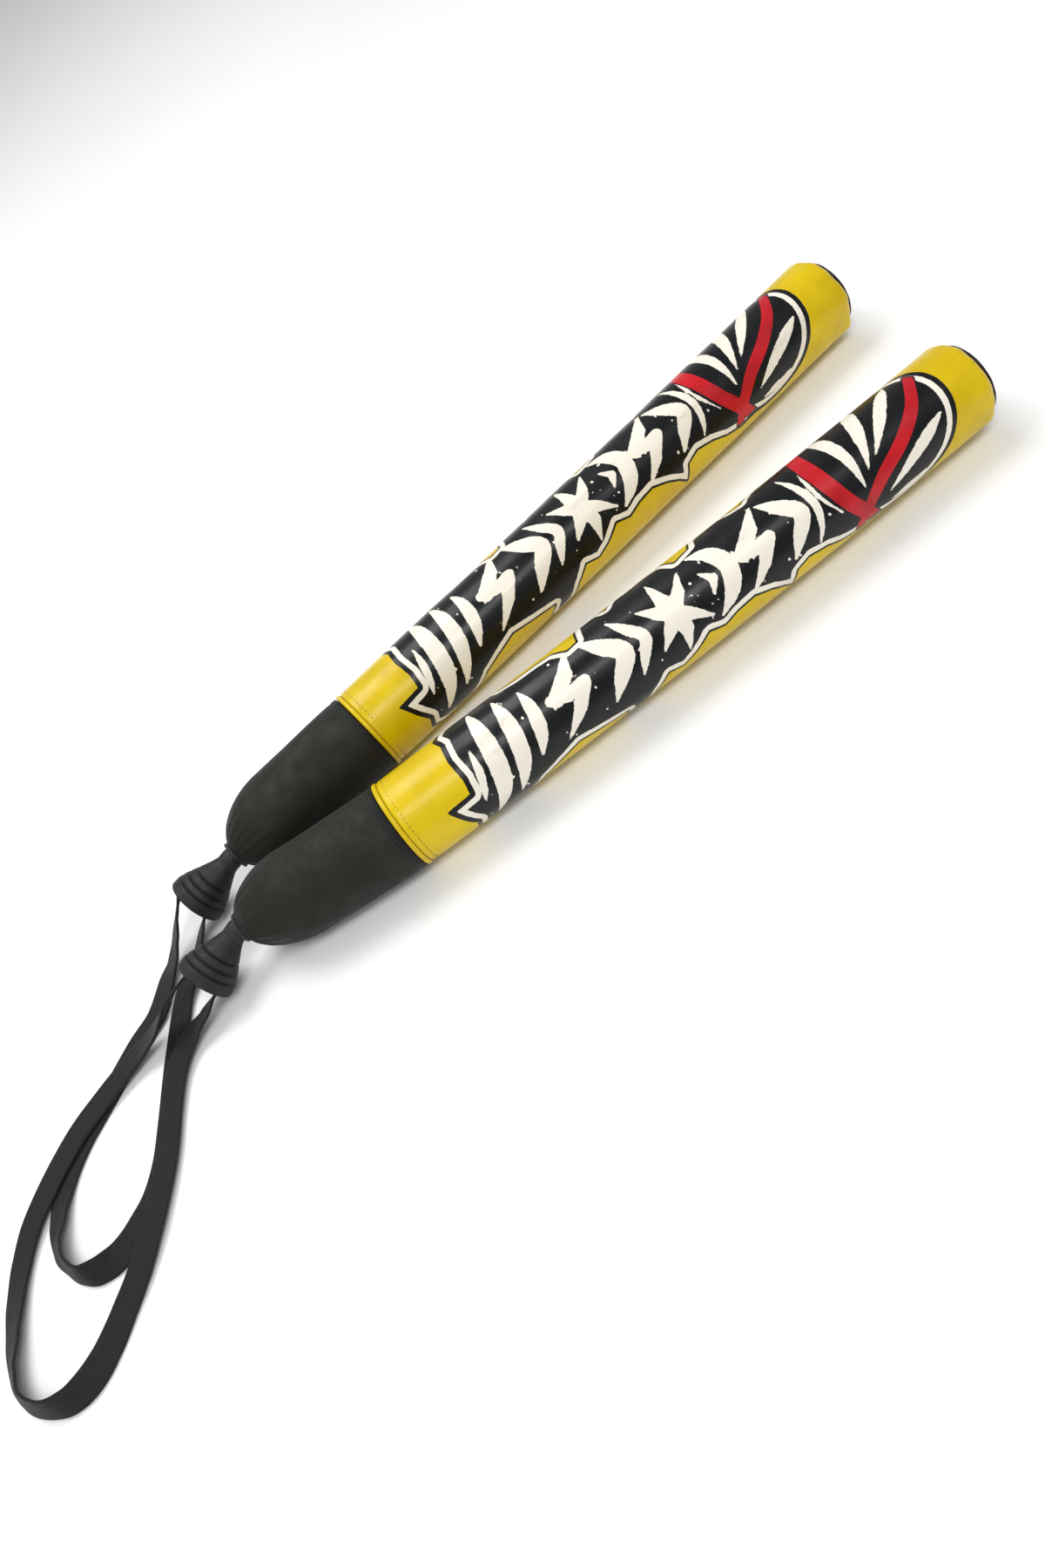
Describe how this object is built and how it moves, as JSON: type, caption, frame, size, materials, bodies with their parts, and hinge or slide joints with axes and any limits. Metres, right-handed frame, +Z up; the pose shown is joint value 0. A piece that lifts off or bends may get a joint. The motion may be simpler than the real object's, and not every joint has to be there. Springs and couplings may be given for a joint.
{
  "type": "focus training sticks",
  "caption": "Pair of foam-padded focus training sticks with printed striking covers, plain grip covers, ribbed rubber pommels and webbing wrist loops, lying side by side.",
  "frame": {"origin": "on the surface the sticks lie on, below the middle of the pair without its wrist straps", "axes": "+X along the sticks towards their tips, +Y from the front stick to the rear one, +Z up"},
  "size_m": [0.7883, 0.2759, 0.056],
  "materials": {
    "printed_cover": "glossy printed PU",
    "black_trim": "semi-gloss black PU",
    "grip_cover": "matte soft-touch PU",
    "rubber": "matte moulded rubber",
    "webbing": "woven polyester webbing",
    "foam": "closed-cell foam",
    "plastic": "moulded",
    "plate_plastic": "moulded black",
    "tube": "extruded",
    "steel": "zinc plated"
  },
  "bodies": {
    "rear_stick": {"rear_core_tube": "tube", "rear_tip_plug": "plastic", "rear_strike_foam": "foam", "rear_tip_pad": "foam", "rear_strike_cover": "printed_cover", "rear_cover_seam_tape": "printed_cover", "rear_tip_disc": "black_trim", "rear_tip_piping": "black_trim", "rear_joint_welt": "printed_cover", "rear_grip_cover": "grip_cover", "rear_grip_foam": "foam", "rear_neck_binding": "webbing", "rear_end_plug": "plastic", "rear_neck_link": "rubber"},
    "rear_pommel": {"rear_pommel_bell": "rubber", "rear_strap_plate": "plate_plastic", "rear_strap_pin_upper": "steel", "rear_strap_pin_lower": "steel", "rear_link_ferrule": "steel", "rear_wrist_strap": "webbing"},
    "front_stick": {"front_core_tube": "tube", "front_tip_plug": "plastic", "front_strike_foam": "foam", "front_tip_pad": "foam", "front_strike_cover": "printed_cover", "front_cover_seam_tape": "printed_cover", "front_tip_disc": "black_trim", "front_tip_piping": "black_trim", "front_joint_welt": "printed_cover", "front_grip_cover": "grip_cover", "front_grip_foam": "foam", "front_neck_binding": "webbing", "front_end_plug": "plastic", "front_neck_link": "rubber"},
    "front_pommel": {"front_pommel_bell": "rubber", "front_strap_plate": "plate_plastic", "front_strap_pin_upper": "steel", "front_strap_pin_lower": "steel", "front_link_ferrule": "steel", "front_wrist_strap": "webbing"}
  },
  "joints": [
    {"name": "front_stick_lift", "type": "slide", "parent": "rear_stick", "child": "front_stick", "axis": [0, 0, 1], "range_m": [0, 0.3]},
    {"name": "rear_pommel_flex", "type": "hinge", "parent": "rear_stick", "child": "rear_pommel", "pos_m": [-0.23825, 0.0334, 0.028], "axis": [0, 0, 1], "range_deg": [-20, 20], "stiffness_Nm_per_rad": 0.25, "deforming": ["rear_neck_link", "rear_wrist_strap"]},
    {"name": "front_pommel_flex", "type": "hinge", "parent": "front_stick", "child": "front_pommel", "pos_m": [-0.25757, -0.0169, 0.028], "axis": [0, 0, 1], "range_deg": [-20, 20], "stiffness_Nm_per_rad": 0.25, "deforming": ["front_neck_link", "front_wrist_strap"]}
  ]
}
